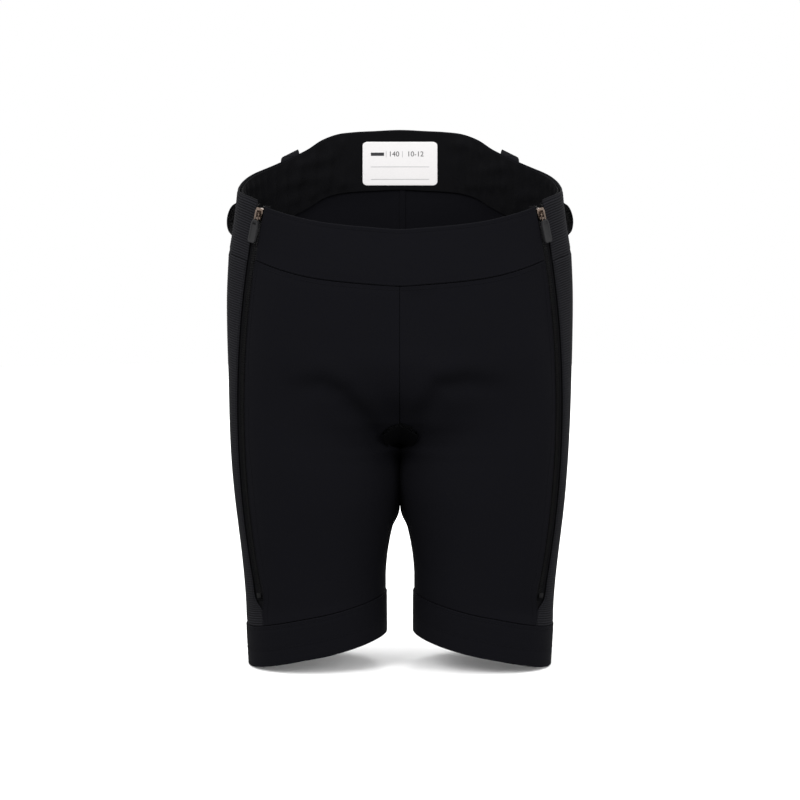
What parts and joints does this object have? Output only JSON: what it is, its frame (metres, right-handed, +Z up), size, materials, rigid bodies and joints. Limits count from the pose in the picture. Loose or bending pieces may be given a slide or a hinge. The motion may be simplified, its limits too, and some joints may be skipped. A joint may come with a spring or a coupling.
{
  "type": "padded impact shorts",
  "caption": "Black close-fitting snow sports shorts with full-length side zips, ribbed side panels, raised back waistband, belt loops and soft impact pads in inner pockets.",
  "frame": {"origin": "middle of the waist opening, level with the waist edge at centre front", "axes": "+Z up, -Y out of the front of the shorts, +X to the right as seen from the front"},
  "size_m": [0.306, 0.1992, 0.472],
  "materials": {
    "softshell": "matte black stretch softshell, fine knit face",
    "ribbed_fabric": "matte black ribbed stretch fabric, ribs about 2 mm apart",
    "tricot_lining": "matte black brushed tricot",
    "elastic_knit": "woven elastic",
    "webbing": "matte black folded fabric tape",
    "label_satin": "white satin label",
    "pad_foam": "closed-cell foam with a fabric face",
    "zip_nylon": "black polyester tape and nylon coil",
    "nickel": "nickel plate",
    "moulded_tab": "matte moulded"
  },
  "bodies": {
    "shorts": {"front_panel_left": "softshell", "front_panel_right": "softshell", "side_panel_left": "ribbed_fabric", "side_panel_right": "ribbed_fabric", "back_panel_left": "softshell", "back_panel_right": "softshell", "crotch_gusset": "tricot_lining", "leg_cuff_left": "softshell", "leg_cuff_right": "softshell", "front_waistband": "softshell", "back_waistband": "softshell", "waist_elastic": "elastic_knit", "waistband_facing": "tricot_lining", "name_label": "label_satin", "belt_loop_side_left": "webbing", "belt_loop_side_right": "webbing", "belt_loop_back_left": "webbing", "belt_loop_back_right": "webbing", "zip_tape_front_left": "zip_nylon", "zip_tape_front_right": "zip_nylon", "zip_coil_front_left": "zip_nylon", "zip_coil_front_right": "zip_nylon", "zip_top_stop_front_left": "nickel", "zip_top_stop_front_right": "nickel", "zip_tape_rear_left": "zip_nylon", "zip_tape_rear_right": "zip_nylon", "zip_coil_rear_left": "zip_nylon", "zip_coil_rear_right": "zip_nylon", "zip_top_stop_rear_left": "nickel", "zip_top_stop_rear_right": "nickel", "zip_bottom_stop_left": "nickel", "zip_bottom_stop_right": "nickel", "hip_pad_left": "pad_foam", "hip_pad_right": "pad_foam", "hip_pad_pocket_left": "tricot_lining", "hip_pad_pocket_right": "tricot_lining", "thigh_pad_left": "pad_foam", "thigh_pad_right": "pad_foam", "thigh_pad_pocket_left": "tricot_lining", "thigh_pad_pocket_right": "tricot_lining", "tailbone_pad": "pad_foam", "tailbone_pad_pocket": "tricot_lining"},
    "slider_left": {"zip_slider_left": "nickel"},
    "slider_right": {"zip_slider_right": "nickel"},
    "pull_left": {"zip_pull_bail_left": "nickel", "zip_pull_tab_left": "moulded_tab"},
    "pull_right": {"zip_pull_bail_right": "nickel", "zip_pull_tab_right": "moulded_tab"}
  },
  "joints": [
    {"name": "zip_left", "type": "hinge", "parent": "shorts", "child": "slider_left", "pos_m": [0.65829, -0.28126, -0.1668], "axis": [-0.2841, -0.9583, -0.0295], "range_deg": [0, 22.5]},
    {"name": "zip_right", "type": "hinge", "parent": "shorts", "child": "slider_right", "pos_m": [-0.65829, -0.28126, -0.1668], "axis": [-0.2841, 0.9583, 0.0295], "range_deg": [0, 22.5]},
    {"name": "pull_tab_left", "type": "hinge", "parent": "slider_left", "child": "pull_left", "pos_m": [-0.12258, -0.05657, 0.01264], "axis": [-0.6703, 0.7142, 0.2015], "range_deg": [0, 165]},
    {"name": "pull_tab_right", "type": "hinge", "parent": "slider_right", "child": "pull_right", "pos_m": [0.12258, -0.05657, 0.01264], "axis": [-0.6703, -0.7142, -0.2015], "range_deg": [0, 165]}
  ]
}
